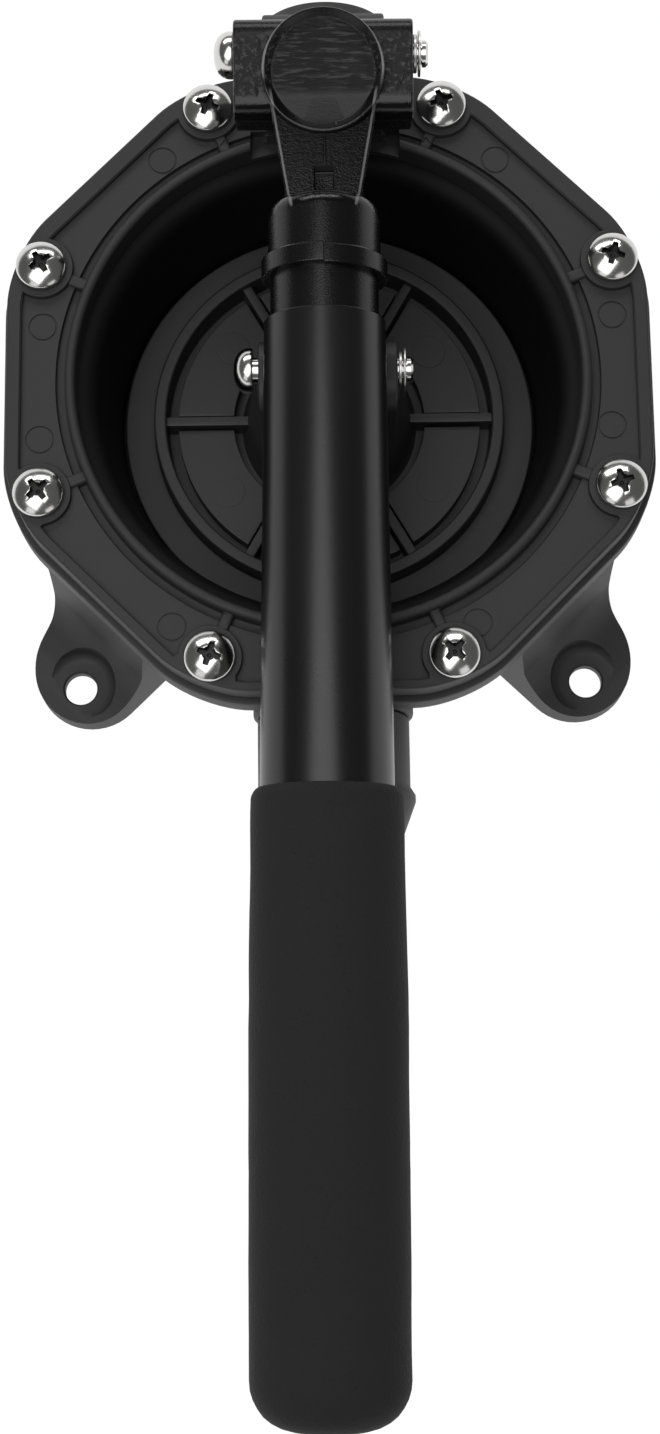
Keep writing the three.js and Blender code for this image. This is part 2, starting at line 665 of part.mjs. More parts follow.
// The block is tilted against the tube, so its front face looks towards the grip.
function yokeBlock() {
  const half = yokeWidth / 2;
  const tilt = (geometry) => solid(geometry.rotateX(blockTilt * degrees));
  const whole = tilt(alongX(blockOutline(), -half, half, smallSteps));
  const room = (y0, y1, z1) => tilt(box(-cheekInner, cheekInner, y0, y1, -2 * cheekRadius, z1));
  const lugRoom = room(lowerWall - blockReach, 0, blockTop - frontWall);
  const lugTurn = solid(alongX(circle(lugRadius + runningGap), -cheekInner, cheekInner, roundSteps));
  const openTop = room(hoodReach, 2 * blockTop, 2 * blockTop);
  const boss = tilt(turned([
    [0, blockTop - frontWall], [faceBossRadius, blockTop - frontWall],
    [faceBossRadius, blockTop + faceBossHeight], [faceBossRadius - 1, blockTop + faceBossHeight],
    [faceBossRadius - 2, blockTop + faceBossHeight / 2], [0, blockTop + faceBossHeight / 2],
  ], roundSteps / 2).translate(0, -faceBossReach, 0));
  return join(cut(whole, lugRoom, lugTurn, openTop), boss);
}

function yokeNeck() {
  const top = lowerWall / 2 - blockReach;
  const foot = -(shoulderReach + shoulderRound + 1);
  const shape = polygon([
    [-neckTopWidth / 2, top], [-neckFootWidth / 2, foot], [neckFootWidth / 2, foot],
    [neckTopWidth / 2, top],
  ]);
  const web = solid(alongZ(shape, neckFront - neckThickness, neckFront));
  const slot = solid(box(-slotWidth / 2, slotWidth / 2, -shoulderReach - 1,
    slotLength - shoulderReach, neckFront - slotDepth, neckFront + 1));
  return cut(web, slot);
}

function yokeSocket() {
  const small = spigotRadius;
  const taper = 1.5;
  return solid(turnedHandle([
    [0, shoulderReach], [shoulderRadius - shoulderRound, shoulderReach],
    [shoulderRadius - 0.3 * shoulderRound, shoulderReach + 0.3 * shoulderRound],
    [shoulderRadius, shoulderReach + shoulderRound], [shoulderRadius, collarReach],
    [collarRadius, collarReach + 0.6], [collarRadius, collarReach + collarLength],
    [small, collarReach + collarLength], [small, spigotEnd - taper],
    [small - taper, spigotEnd], [0, spigotEnd],
  ]));
}

function yokeArm() {
  const root = blockReach - lowerWall / 2;
  const right = tubeTop - 2 * gap;
  const turnIn = 60 * degrees;
  const under = -linkDrop + eyeRadius * Math.sin(turnIn);
  const shape = new THREE.Shape();
  shape.moveTo(-root, neckFront - neckThickness / 2);
  shape.lineTo(-right, axisRise - spigotRadius / 2);
  shape.lineTo(-right, under);
  shape.absarc(-linkReach, -linkDrop, eyeRadius, turnIn, 2 * Math.PI - turnIn);
  shape.lineTo(-kneeReach, -kneeDrop);
  shape.lineTo(-root, neckFront - neckThickness);
  shape.closePath();
  const arm = solid(alongX(shape, -armWidth / 2, armWidth / 2, smallSteps));
  const eye = solid(alongX(circle(pinRadius + 2 * gap + bushWall, -linkReach, -linkDrop),
    -yokeWidth, yokeWidth));
  return cut(arm, eye);
}

function yoke() {
  const pinHole = solid(alongX(circle(pinRadius + gap), -yokeWidth, yokeWidth));
  return cut(join(yokeBlock(), yokeNeck(), yokeSocket(), yokeArm()), pinHole);
}

// ---- Handle -------------------------------------------------------------------------------

// The tube widens from its socket to the grip and runs straight inside it.
function handleTube() {
  const outline = [[tubeTopRadius, tubeTop], [tubeRadius, gripTop], [tubeRadius, tubeEnd]];
  const inside = outline.map(([radius, reach]) => [radius - tubeWall, reach]).reverse();
  return turnedHandle(closed([...outline, ...inside]));
}

function tubePlug() {
  const radius = tubeRadius - tubeWall - gap;
  return turnedHandle([
    [0, tubeEnd - plugLength], [radius, tubeEnd - plugLength], [radius, tubeEnd], [0, tubeEnd],
  ]);
}

function handleGrip() {
  const inner = tubeRadius + gap;
  const bend = gripRound * (1 - Math.SQRT1_2);
  const middle = (gripTop + gripEnd) / 2;
  return turnedHandle([
    [0, tubeEnd + gap], [inner, tubeEnd + gap], [inner, gripTop], [gripTopRadius - 1, gripTop],
    [gripTopRadius, gripTop + 2], [gripRadius, middle], [gripRadius, gripEnd - gripRound],
    [gripRadius - bend, gripEnd - bend], [gripRadius - gripRound, gripEnd], [0, gripEnd + 0.4],
  ]);
}

// ---- Assembly -----------------------------------------------------------------------------

function finish(color, roughness, metalness) {
  return new THREE.MeshStandardMaterial({ color, roughness, metalness });
}

const blackPlastic = finish(0x1b1b1c, 0.5, 0);
const blackCasting = finish(0x1e1e20, 0.45, 0.2);
const blackRubber = finish(0x0d0d0d, 0.7, 0);
const blackTube = finish(0x1a1a1c, 0.3, 0.5);
const foam = finish(0x1f1f20, 0.95, 0);
const steel = finish(0xc8c8ca, 0.2, 1);
const nylon = finish(0xd8d4c8, 0.6, 0);

const pump = new THREE.Group();
const handle = new THREE.Group();
handle.position.set(0, pivotY, pivotZ);
handle.rotation.set(-rest, 0, -handleLean * degrees, 'ZYX');
const link = new THREE.Group();
link.position.set(0, -linkReach, -linkDrop);
handle.add(link);
pump.add(handle);

function place(parent, name, shape, material) {
  const geometry = shape instanceof THREE.BufferGeometry ? shape : toGeometry(shape);
  const mesh = new THREE.Mesh(geometry, material);
  mesh.name = name;
  parent.add(mesh);
}

place(pump, 'pump_body', pumpBody(), blackPlastic);
place(pump, 'clamp_ring', clampRing(), blackPlastic);
place(pump, 'diaphragm', diaphragm(), blackRubber);
place(pump, 'diaphragm_plate', diaphragmPlate(), blackPlastic);
place(pump, 'backing_plate', backingPlate(), blackPlastic);
place(pump, 'hub_bolt', hubBolt(), steel);

atScrews((x, y) => [x, y]).forEach(([x, y], i) => {
  place(pump, `clamp_screw_${i + 1}`, clampScrew().translate(x, y, 0), steel);
});

const ports = [
  { name: 'outlet', side: 1, seatReach: outletSeatReach, flapY: outletSeatReach + gap },
  { name: 'inlet', side: -1, seatReach: inletSeatReach, flapY: gap + seatThickness - inletSeatReach },
];
for (const { name, side, seatReach, flapY } of ports) {
  place(pump, `${name}_tail`, hoseTail(side), blackPlastic);
  place(pump, `${name}_seal`, portSeal(side), blackRubber);
  place(pump, `${name}_valve_seat`, valveSeat(side, seatReach), blackPlastic);
  place(pump, `${name}_flap`, valveFlap(flapY), blackRubber);
}

const pivotBush = plainBush(lugHalf - gap).translate(0, pivotY, pivotZ);
place(pump, 'pivot_bush', pivotBush, nylon);
place(handle, 'yoke', yoke(), blackCasting);
place(handle, 'pivot_pin', headedPin(yokeWidth / 2), steel);
place(handle, 'pivot_washer', pinWasher(yokeWidth / 2), steel);
place(handle, 'pivot_clip', pinClip(yokeWidth / 2), steel);
place(link, 'link_bush', plainBush(armWidth / 2 - gap), nylon);
place(link, 'link_pin', headedPin(clevisOuter + linkPlay / 2), steel);
place(link, 'link_washer', pinWasher(clevisOuter + linkPlay / 2), steel);
place(link, 'link_clip', pinClip(clevisOuter + linkPlay / 2), steel);
place(handle, 'handle_tube', handleTube(), blackTube);
place(handle, 'tube_plug', tubePlug(), blackPlastic);
place(handle, 'handle_grip', handleGrip(), foam);

export default pump;
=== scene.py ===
"""Looks of a manual bilge pump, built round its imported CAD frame. Shapes are drawn in millimetres."""
from math import cos, hypot, pi, radians, sin, tan

import bmesh
import bpy
from mathutils import Matrix, Vector, noise


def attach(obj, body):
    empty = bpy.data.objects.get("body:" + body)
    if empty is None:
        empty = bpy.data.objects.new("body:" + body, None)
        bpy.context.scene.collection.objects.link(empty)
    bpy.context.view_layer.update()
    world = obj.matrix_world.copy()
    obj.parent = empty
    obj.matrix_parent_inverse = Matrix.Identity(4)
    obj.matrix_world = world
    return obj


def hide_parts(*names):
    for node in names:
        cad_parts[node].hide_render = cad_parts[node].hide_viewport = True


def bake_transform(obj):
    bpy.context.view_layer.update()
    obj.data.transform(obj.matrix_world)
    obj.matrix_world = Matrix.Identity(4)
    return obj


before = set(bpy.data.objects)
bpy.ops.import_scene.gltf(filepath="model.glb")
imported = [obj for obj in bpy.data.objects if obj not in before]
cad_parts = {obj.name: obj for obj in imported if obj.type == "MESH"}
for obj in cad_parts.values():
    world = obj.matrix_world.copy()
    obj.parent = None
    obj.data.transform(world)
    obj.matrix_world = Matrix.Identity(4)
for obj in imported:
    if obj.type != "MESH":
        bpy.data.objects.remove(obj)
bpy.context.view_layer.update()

MM = 0.001

# ---- Sizes, the same as the frame's ---------------------------------------------------------

PARTING = 53.6                                # joint between the body and the clamp ring
RING_FOOT, RING_TOP, PANEL = 53.9, 61.6, 60.0
RING_BORE = 58.5
LIP_EDGE, GROOVE_EDGE, GROOVE_FLOOR, LIP_TOP = 60.9, 63.2, 58.4, 62.6
APOTHEM, CORNER = 74.5, 30.0
BORDER, BORDER_SHIFT = 3.4, 1.2               # the sunk panels lie a little towards the grip
SCREW_CIRCLE, SCREW_SEAT = 72.0, 61.9
FLANGE_FOOT = 46.6
HOLE = Vector((62.5, 61.0))
PORT_Z = 28.6
PLATE_TOP, PLATE_FOOT, RIM_TOP = 25.6, 22.8, 32.6
LAND_TOP, RIB_TOP, MOAT = 29.0, 30.6, 24.4
MARK_CIRCLE, MARK_RADIUS = 30.2, 4.1          # the pin marks on the plate
PIVOT_Y, PIVOT_Z = 67.0, 87.1
LINK_Y, LINK_Z = 0.28, 63.59
CLEVIS_FLOOR = 55.2
CHEEK_ROUND, SLOT_HALF, SLOT_RUN = 6.7, 3.5, 4.2      # the clevis and its slot
LUG_HALF, LUG_ROOM = 13.7, 14.2               # half widths of the pivot lug and of the yoke's gap for it
LUG_INNER, LUG_OUTER = 60.0, 73.5             # the pivot lug's two faces in y
SCREW_WAY, BUSH_WAY = 3.3, 4.8                # radii of the holes for 6 mm screws and pins, and for bushes
MEMBRANE_ROOM = 66.3                          # radius of the recess for the rim of the diaphragm
BOSS_Y = -5.9                                 # the yoke's boss, from the pivot
AXIS_RISE = 3.2                               # the tube's axis above the pivot's
NECK_NEAR, NECK_FAR = 13.6, 41.5              # the neck's ends, from the pivot
NECK_WIDE, NECK_SLIM = 11.8, 7.1              # its half widths there
TUBE_IN, TUBE_OUT, TUBE_END = 13.45, 14.55, 294
SLEEVE_START, SLIM, THICK = 167.4, 16.6, 17.15        # the grip's start, and its radii there and beyond
GRIP_END, GRIP_ROUND = 301.0, 10.0            # along the tube's axis from the pivot; radius of its end
EIGHTH = pi / 4
SCREWS = [(SCREW_CIRCLE * cos((i + 0.5) * EIGHTH), SCREW_CIRCLE * sin((i + 0.5) * EIGHTH))
          for i in range(8)]
WIDE_TURN = 160                               # steps round the widest turned shapes
CREASE = 32                                   # degrees; an edge that turns further is drawn sharp


def shift(x=0, y=0, z=0):
    return Matrix.Translation((x, y, z))


def turned(degrees, axis):
    return Matrix.Rotation(radians(degrees), 4, axis)


HANDLE = shift(0, PIVOT_Y, PIVOT_Z) @ turned(-0.47, "Z") @ turned(4, "X")
LINK_ARM = shift(0, -68.2, -18.8)             # from the pivot pin to the link pin
BLOCK_TILT = turned(12, "X")
ALONG_X = Matrix(((0, 0, 1, 0), (1, 0, 0, 0), (0, 1, 0, 0), (0, 0, 0, 1)))  # drawn (y, z), run along x
SPIN_X = turned(90, "Y")                      # a spun shape laid along +X
TUBE_AXIS = shift(0, 0, AXIS_RISE) @ turned(90, "X")


# ---- Modelling tools ------------------------------------------------------------------------

def moved(bm, *matrices):
    for matrix in matrices:
        bmesh.ops.transform(bm, matrix=matrix, verts=bm.verts)
    return bm


def lifted(bm, height, faces=None):
    """Raises a flat outline, or the faces given, into a solid; returns the new top's corners."""
    raised = bmesh.ops.extrude_face_region(bm, geom=faces or bm.faces[:])["geom"]
    top = [g for g in raised if isinstance(g, bmesh.types.BMVert)]
    covered = [f for f in faces or () if f.is_valid]
    if covered:
        bmesh.ops.delete(bm, geom=covered, context="FACES_ONLY")
    bmesh.ops.translate(bm, vec=(0, 0, height), verts=top)
    return top


def facing_out(bm):
    bmesh.ops.remove_doubles(bm, verts=bm.verts, dist=1e-4)
    bmesh.ops.recalc_face_normals(bm, faces=bm.faces)
    return bm


def prism(points, low, high, rounds=None, steps=8):
    """A closed prism over corner points; rounds maps a corner's index to its radius."""
    bm = bmesh.new()
    corners = [bm.verts.new((x, y, low)) for x, y in points]
    bm.faces.new(corners)
    for index, radius in (rounds or {}).items():
        before, here, after = (Vector(points[(index + i) % len(points)]) for i in (-1, 0, 1))
        turn = (here - before).angle(after - here)
        bmesh.ops.bevel(bm, geom=[corners[index]], offset=radius * tan(turn / 2),
                        offset_type="OFFSET", segments=steps, profile=0.5, affect="VERTICES",
                        clamp_overlap=False, material=-1)
    lifted(bm, high - low)
    return facing_out(bm)


def slab(x0, x1, y0, y1, z0, z1):
    bm = bmesh.new()
    size = Matrix.Diagonal((x1 - x0, y1 - y0, z1 - z0, 1))
    middle = shift((x0 + x1) / 2, (y0 + y1) / 2, (z0 + z1) / 2)
    bmesh.ops.create_cube(bm, size=1, matrix=middle @ size)
    return bm


def spun(profile, steps=96, ring=False):
    """A profile of (radius, height) turned round Z. A ring's profile closes on itself."""
    bm = bmesh.new()
    points = [bm.verts.new((radius, 0, height)) for radius, height in profile]
    pairs = list(zip(points, points[1:])) + ([(points[-1], points[0])] if ring else [])
    edges = [bm.edges.new(pair) for pair in pairs]
    bmesh.ops.spin(bm, geom=points + edges, cent=(0, 0, 0), axis=(0, 0, 1), angle=2 * pi,
                   steps=steps, use_merge=True, use_duplicate=False)
    bmesh.ops.remove_doubles(bm, verts=bm.verts, dist=1e-4)
    bmesh.ops.dissolve_degenerate(bm, edges=bm.edges, dist=1e-5)
    return facing_out(bm)


def rod(radius, low, high, steps=48):
    return spun([(0, low), (radius, low), (radius, high), (0, high)], steps)


def softened(bm, width, segments=2, limit=35, only=None):
    """Rounds the edges that turn by more than the limit."""
    sharp = [e for e in bm.edges if e.is_manifold and e.calc_face_angle() > radians(limit)
             and (only is None or only(e))]
    bmesh.ops.bevel(bm, geom=sharp, offset=width, offset_type="OFFSET", segments=segments,
                    profile=0.5, affect="EDGES", clamp_overlap=True, material=-1)
    return bm


def edge_at(height):
    return lambda e: all(abs(v.co.z - height) < 1e-3 for v in e.verts)


def edge_between(low, high):
    return lambda e: all(low < v.co.z < high for v in e.verts)


def octagon(apothem, corner, low, high, flare=0.0):
    """The eight-sided outline with round corners; a flare opens its upper edge outwards."""
    bm = bmesh.new()
    half = EIGHTH / 2        # so that flats, not corners, face the axes
    bmesh.ops.create_circle(bm, cap_ends=True, segments=8, radius=apothem / cos(half),
                            matrix=shift(0, 0, low) @ Matrix.Rotation(half, 4, "Z"))
    bmesh.ops.bevel(bm, geom=bm.verts[:], offset=corner * tan(EIGHTH / 2), offset_type="OFFSET",
                    segments=12, profile=0.5, affect="VERTICES", clamp_overlap=False, material=-1)
    lifted(bm, high - low)
    if flare:
        for grow in (1 + flare / apothem, 1):
            crest = max(v.co.z for v in bm.verts)
            crown = [f for f in bm.faces if all(abs(v.co.z - crest) < 1e-4 for v in f.verts)]
            top = lifted(bm, flare, crown)
            bmesh.ops.scale(bm, vec=(grow, grow, 1), verts=top)
    return facing_out(bm)


def stand(bm, name="tool"):
    mesh = bpy.data.meshes.new(name)
    bm.to_mesh(mesh)
    bm.free()
    return bpy.data.objects.new(name, mesh)


def gathered(parts):
    """One mesh of several solids that stay clear of each other."""
    whole = bmesh.new()
    for part in parts:
        mesh = bpy.data.meshes.new("part")
        part.to_mesh(mesh)
        part.free()
        whole.from_mesh(mesh)
        bpy.data.meshes.remove(mesh)
    return whole


def fused(base, adds=(), cuts=()):
    """Joins solids to the base, then cuts solids from it. A list in either is one set of solids."""
    scene = bpy.context.scene.collection
    target = stand(base)
    scene.objects.link(target)
    tools = []
    for operation, parts in (("UNION", adds), ("DIFFERENCE", cuts)):
        for part in parts:
            tool = stand(gathered(part) if isinstance(part, list) else part)
            scene.objects.link(tool)
            tools.append(tool)
            carve = target.modifiers.new(operation, "BOOLEAN")
            carve.operation, carve.solver, carve.object = operation, "EXACT", tool
    graph = bpy.context.evaluated_depsgraph_get()
    bm = bmesh.new()
    bm.from_mesh(target.evaluated_get(graph).to_mesh())
    for used in tools + [target]:
        bpy.data.objects.remove(used)
    bmesh.ops.remove_doubles(bm, verts=bm.verts, dist=1e-3)
    bmesh.ops.dissolve_degenerate(bm, edges=bm.edges, dist=1e-3)
    return bm


def piece(name, bm, body, finish, stands_for=()):
    """A finished piece in the row frame, with its place in its mesh and its creases kept sharp."""
    moved(bm, Matrix.Scale(MM, 4))
    made = stand(bm, name)
    made.data.polygons.foreach_set("use_smooth", [True] * len(made.data.polygons))
    made.data.set_sharp_from_angle(angle=radians(CREASE))
    for coat in finish if isinstance(finish, tuple) else (finish,):
        made.data.materials.append(coat)
    bpy.context.scene.collection.objects.link(made)
    even = made.modifiers.new("even_faces", "WEIGHTED_NORMAL")
    even.keep_sharp = True
    if body:
        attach(made, body)
    if stands_for:
        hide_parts(*stands_for)
    return made


def at_screws(make):
    """One of what make gives at each of the eight screws."""
    return [moved(make(), shift(x, y)) for x, y in SCREWS]


# ---- Finishes -------------------------------------------------------------------------------

class Wire:
    """A socket's value; arithmetic on it adds Math nodes."""

    def __init__(self, finish, socket):
        self.finish, self.socket = finish, socket

    def _math(self, operation, first, second):
        made = self.finish.node("ShaderNodeMath", {"operation": operation}, {0: first, 1: second})
        return made[0]

    def __add__(self, other):
        return self._math("ADD", self, other)

    def __sub__(self, other):
        return self._math("SUBTRACT", self, other)

    def __rsub__(self, other):
        return self._math("SUBTRACT", other, self)

    def __mul__(self, other):
        return self._math("MULTIPLY", self, other)

    def over(self, low, high):
        """0 below low, 1 above high, and smooth between them."""
        span = {"interpolation_type": "SMOOTHSTEP"}
        return self.finish.node("ShaderNodeMapRange", span,
                                {"Value": self, "From Min": low, "From Max": high})[0]

    def over_mm(self, low, high):
        return self.over(low * MM, high * MM)

    __radd__ = __add__


class Finish:
    """A material's nodes round one Principled shader."""

    def __init__(self, name, **fixed):
        self.material = bpy.data.materials.new(name)
        self.material.use_nodes = True
        self.tree = self.material.node_tree
        self.tree.nodes.clear()
        self.shader = self.tree.nodes.new("ShaderNodeBsdfPrincipled")
        self.output = self.tree.nodes.new("ShaderNodeOutputMaterial")
        self.tree.links.new(self.shader.outputs[0], self.output.inputs[0])
        self.place = Wire(self, self.tree.nodes.new("ShaderNodeTexCoord").outputs["Object"])
        for socket, value in fixed.items():
            self.shader.inputs[socket.replace("_", " ")].default_value = value

    def node(self, kind, settings, sockets):
        made = self.tree.nodes.new(kind)
        for name, value in settings.items():
            setattr(made, name, value)
        for key, value in sockets.items():
            if isinstance(value, Wire):
                self.tree.links.new(value.socket, made.inputs[key])
            else:
                made.inputs[key].default_value = value
        return [Wire(self, output) for output in made.outputs]

    def grain(self, scale, detail=3.0, stretch=(1, 1, 1), spread=0.5):
        vector = self.place
        if stretch != (1, 1, 1):
            vector = self.node("ShaderNodeMapping", {}, {"Vector": vector, "Scale": stretch})[0]
        return self.node("ShaderNodeTexNoise", {}, {"Vector": vector, "Scale": scale,
                                                    "Detail": detail, "Roughness": spread})[0]

    def blend(self, share, first, second):
        return self.node("ShaderNodeMix", {"data_type": "RGBA"},
                         {0: share, 6: (*first, 1), 7: (*second, 1)})[2]

    def feed(self, **sockets):
        for socket, wire in sockets.items():
            self.tree.links.new(wire.socket, self.shader.inputs[socket.replace("_", " ")])

    def relief(self, height, depth_mm):
        self.feed(Normal=self.node("ShaderNodeBump", {}, {
            "Strength": 1.0, "Distance": depth_mm * MM, "Height": height})[0])


def grey(level, tint=0.0):
    return (level, level, level * (1 + tint))


def moulded(name, level, roughness, texture_mm=0.05):
    """Black moulded plastic: a fine spark-eroded skin over slow changes of tone."""
    blotch = 0.12
    finish = Finish(name, Specular_IOR_Level=0.5)
    skin = finish.grain(1900, 4.0, spread=0.62)
    slow = finish.grain(42, 3.0)
    flow = finish.grain(160, 2.0, (1, 0.35, 1))
    finish.feed(Base_Color=finish.blend(slow * 0.7 + flow * 0.3, grey(level * (1 - blotch)),
                                        grey(level * (1 + blotch), 0.01)),
                Roughness=roughness - 0.13 + skin * 0.14 + slow * 0.12)
    finish.relief(skin + flow * 0.25, texture_mm)
    return finish.material


def rubber():
    finish = Finish("diaphragm_rubber", Specular_IOR_Level=0.2)
    skin = finish.grain(900, 3.0)
    slow = finish.grain(30, 2.0)
    finish.feed(Base_Color=finish.blend(slow, grey(0.002), grey(0.0035)),
                Roughness=0.5 + slow * 0.12 + skin * 0.08)
    finish.relief(skin, 0.02)
    return finish.material


def casting():
    """Black coated die casting: coarse orange peel on the block, flow lines on the boss's face, and
    painted highlights on the boss's crest, the neck's edges and the grain's peaks.
    """
    finish = Finish("yoke_coating", Specular_IOR_Level=0.36)
    across, along, up = finish.node("ShaderNodeSeparateXYZ", {}, {0: finish.place})
    # Masks: the boss's face and its crest, painted lighter as a highlight, the block behind it, and the
    # neck in front.
    centre = HANDLE @ BLOCK_TILT @ Vector((0, BOSS_Y, 12.4))
    x, y = across - centre.x * MM, along - centre.y * MM
    away = finish.node("ShaderNodeMath", {"operation": "SQRT"}, {0: x * x + y * y})[0]
    boss = 1 - away.over_mm(10.8, 11.8)
    # The crest mask paints a highlight along the boss's rim.
    crest = away.over_mm(12.85, 13.15) * (1 - away.over_mm(13.5, 13.75)) * up.over_mm(98, 99)
    behind = along.over_mm(52.5, 54.5)
    block = behind * (1 - along.over_mm(64.5, 67.5)) * up.over_mm(90, 92.5)
    neck = (1 - behind) * along.over_mm(25.5, 26.2) * up.over_mm(85, 87)
    # The neck's two long edges, painted lighter along them: a painted highlight.
    yaw, taper = 0.0082, (NECK_WIDE - NECK_SLIM) / (NECK_FAR - NECK_NEAR)
    reach = along - PIVOT_Y * MM
    off_axis = finish.node("ShaderNodeMath", {"operation": "ABSOLUTE"}, {0: across - reach * yaw})[0]
    inward = (reach + NECK_FAR * MM) * taper + NECK_SLIM * MM - off_axis
    painted_edge_highlight = inward.over_mm(-0.4, 0) * (1 - inward.over_mm(0.25, 0.5)) * neck
    # Textures.
    peel = finish.grain(900, 4.0, spread=0.65)
    wander = finish.grain(210, 2.0)
    flow = finish.grain(430, 3.0, (0.42, 2.5, 1), spread=0.65)
    skin = finish.grain(2600, 2.0)
    patches = finish.grain(150, 2.0).over(0.3, 0.45) * block
    upper = y.over_mm(-6, -1)
    rough = peel * patches * (1 - boss)
    # Lighter base colour on the peel's peaks and the boss's upper flow lines: painted highlights.
    painted_grain_highlights = peel.over(0.52, 0.66) * patches * (1 - boss) * 0.26
    painted_grain_highlights = painted_grain_highlights + flow.over(0.5, 0.64) * boss * (0.01 + upper * 0.17)
    finish.feed(Base_Color=finish.blend(crest * 1.2 + painted_edge_highlight * 0.7 + painted_grain_highlights, grey(0.004), grey(0.24)),
                Roughness=0.22 + skin * 0.1 + boss * 0.3 + patches * 0.1 - neck * 0.19)
    lines = flow * boss * (0.1 + upper * 1.5 + upper * wander)
    finish.relief(rough * 1.6 + lines + skin * 0.12, 0.36)
    return finish.material


def coated_tube():
    finish = Finish("tube_coating", Specular_IOR_Level=0.5)
    skin = finish.grain(1300, 2.0)
    slow = finish.grain(25, 2.0)
    finish.feed(Base_Color=finish.blend(slow, grey(0.006), grey(0.008)),
                Roughness=0.24 + skin * 0.05 + slow * 0.05)
    finish.relief(skin, 0.012)
    return finish.material


def foam():
    """Closed-cell foam: a fine speckled skin of small cells, with painted shade in its pits."""
    finish = Finish("grip_foam", Specular_IOR_Level=0.25, Sheen_Weight=0.06, Sheen_Roughness=0.4)
    cells = finish.node("ShaderNodeTexVoronoi", {"feature": "F1"},
                        {"Vector": finish.place, "Scale": 1500.0})[0]
    fine = finish.grain(2600, 3.0, spread=0.65)
    slow = finish.grain(60, 3.0)
    shaded_pits = finish.grain(900, 2.0).over(0.64, 0.74)
    # The pits are painted darker: painted shade in them, on top of their sunk relief.
    tone = fine * 0.6 + slow * 0.4 - shaded_pits * 0.25
    finish.feed(Base_Color=finish.blend(tone, grey(0.0135), grey(0.027)),
                Roughness=0.86 + slow * 0.1)
    finish.relief(cells * 0.6 + fine * 0.6 - shaded_pits * 0.5, 0.12)
    return finish.material


def stainless(name, roughness=0.12):
    finish = Finish(name, Metallic=1.0)
    lathe = finish.grain(800, 3.0, (1, 1, 0.3))
    slow = finish.grain(180, 3.0)
    finish.feed(Base_Color=finish.blend(slow, (0.60, 0.595, 0.585), (0.74, 0.735, 0.725)),
                Roughness=roughness + lathe * 0.06 + slow * 0.05)
    finish.relief(lathe * 0.4 + slow * 0.6, 0.01)
    return finish.material


def recess():
    """The steel inside a screw's cross, painted dark as the shade in it, and dull."""
    finish = Finish("recess_steel_painted_shade", Metallic=1.0)
    # The mottled dark base colour is painted shade.
    shade_mottle = finish.grain(700, 3.0)
    finish.feed(Base_Color=finish.blend(shade_mottle, grey(0.02), grey(0.09)), Roughness=0.4 + shade_mottle * 0.2)
    finish.relief(shade_mottle, 0.02)
    return finish.material


def nylon():
    finish = Finish("bush_nylon", Specular_IOR_Level=0.5)
    slow = finish.grain(90, 3.0)
    finish.feed(Base_Color=finish.blend(slow, (0.58, 0.55, 0.47), (0.68, 0.65, 0.57)),
                Roughness=0.4 + slow * 0.15)
    finish.relief(finish.grain(1500, 2.0), 0.02)
    return finish.material


BODY = moulded("body_plastic", 0.026, 0.56)
RING = moulded("ring_plastic", 0.024, 0.60)
PLATE = moulded("plate_plastic", 0.023, 0.48, texture_mm=0.03)
PLUG = moulded("plug_plastic", 0.016, 0.62)
RUBBER, CASTING, TUBE, FOAM = rubber(), casting(), coated_tube(), foam()
STEEL, PLATED = stainless("screw_steel"), stainless("plated_steel", 0.32)
RECESS, NYLON = recess(), nylon()


# ---- Clamp ring -----------------------------------------------------------------------------

